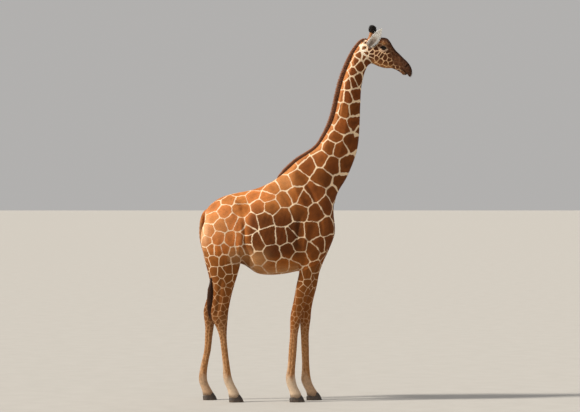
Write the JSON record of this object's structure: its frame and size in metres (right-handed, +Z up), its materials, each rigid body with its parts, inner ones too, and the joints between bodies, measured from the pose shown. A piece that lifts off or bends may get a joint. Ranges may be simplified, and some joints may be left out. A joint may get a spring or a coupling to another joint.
{
  "type": "reticulated giraffe",
  "caption": "Life-size standing reticulated giraffe in profile pose, still model with separate head, neck, trunk, legs, tail, ears, ossicones, eyes, mane and hooves.",
  "frame": {"origin": "bottom centre of the whole animal's box, on the floor between the feet", "axes": "+X the way the animal faces, +Y its left side, +Z up"},
  "size_m": [2.5642, 0.6849, 4.4961],
  "materials": {
    "coat": "short lying fur, red-brown patches parted by cream lines",
    "ear": "short cream and grey-brown fur",
    "mane_hair": "stiff upright dark red-brown hair",
    "black_hair": "long black tail hair",
    "ossicone": "furred horn, brown shaft with a black tuft",
    "eye": "wet dark eye",
    "hoof": "worn dark horn"
  },
  "bodies": {
    "root": {"trunk": "coat", "neck": "coat", "head": "coat", "tail": "coat", "foreleg_left": "coat", "foreleg_right": "coat", "hindleg_left": "coat", "hindleg_right": "coat", "ear_left": "ear", "ear_right": "ear", "mane": "mane_hair", "tail_tassel": "black_hair", "ossicone_left": "ossicone", "ossicone_right": "ossicone", "eye_left": "eye", "eye_right": "eye", "hoof_fore_left": "hoof", "hoof_fore_right": "hoof", "hoof_hind_left": "hoof", "hoof_hind_right": "hoof"}
  },
  "joints": []
}
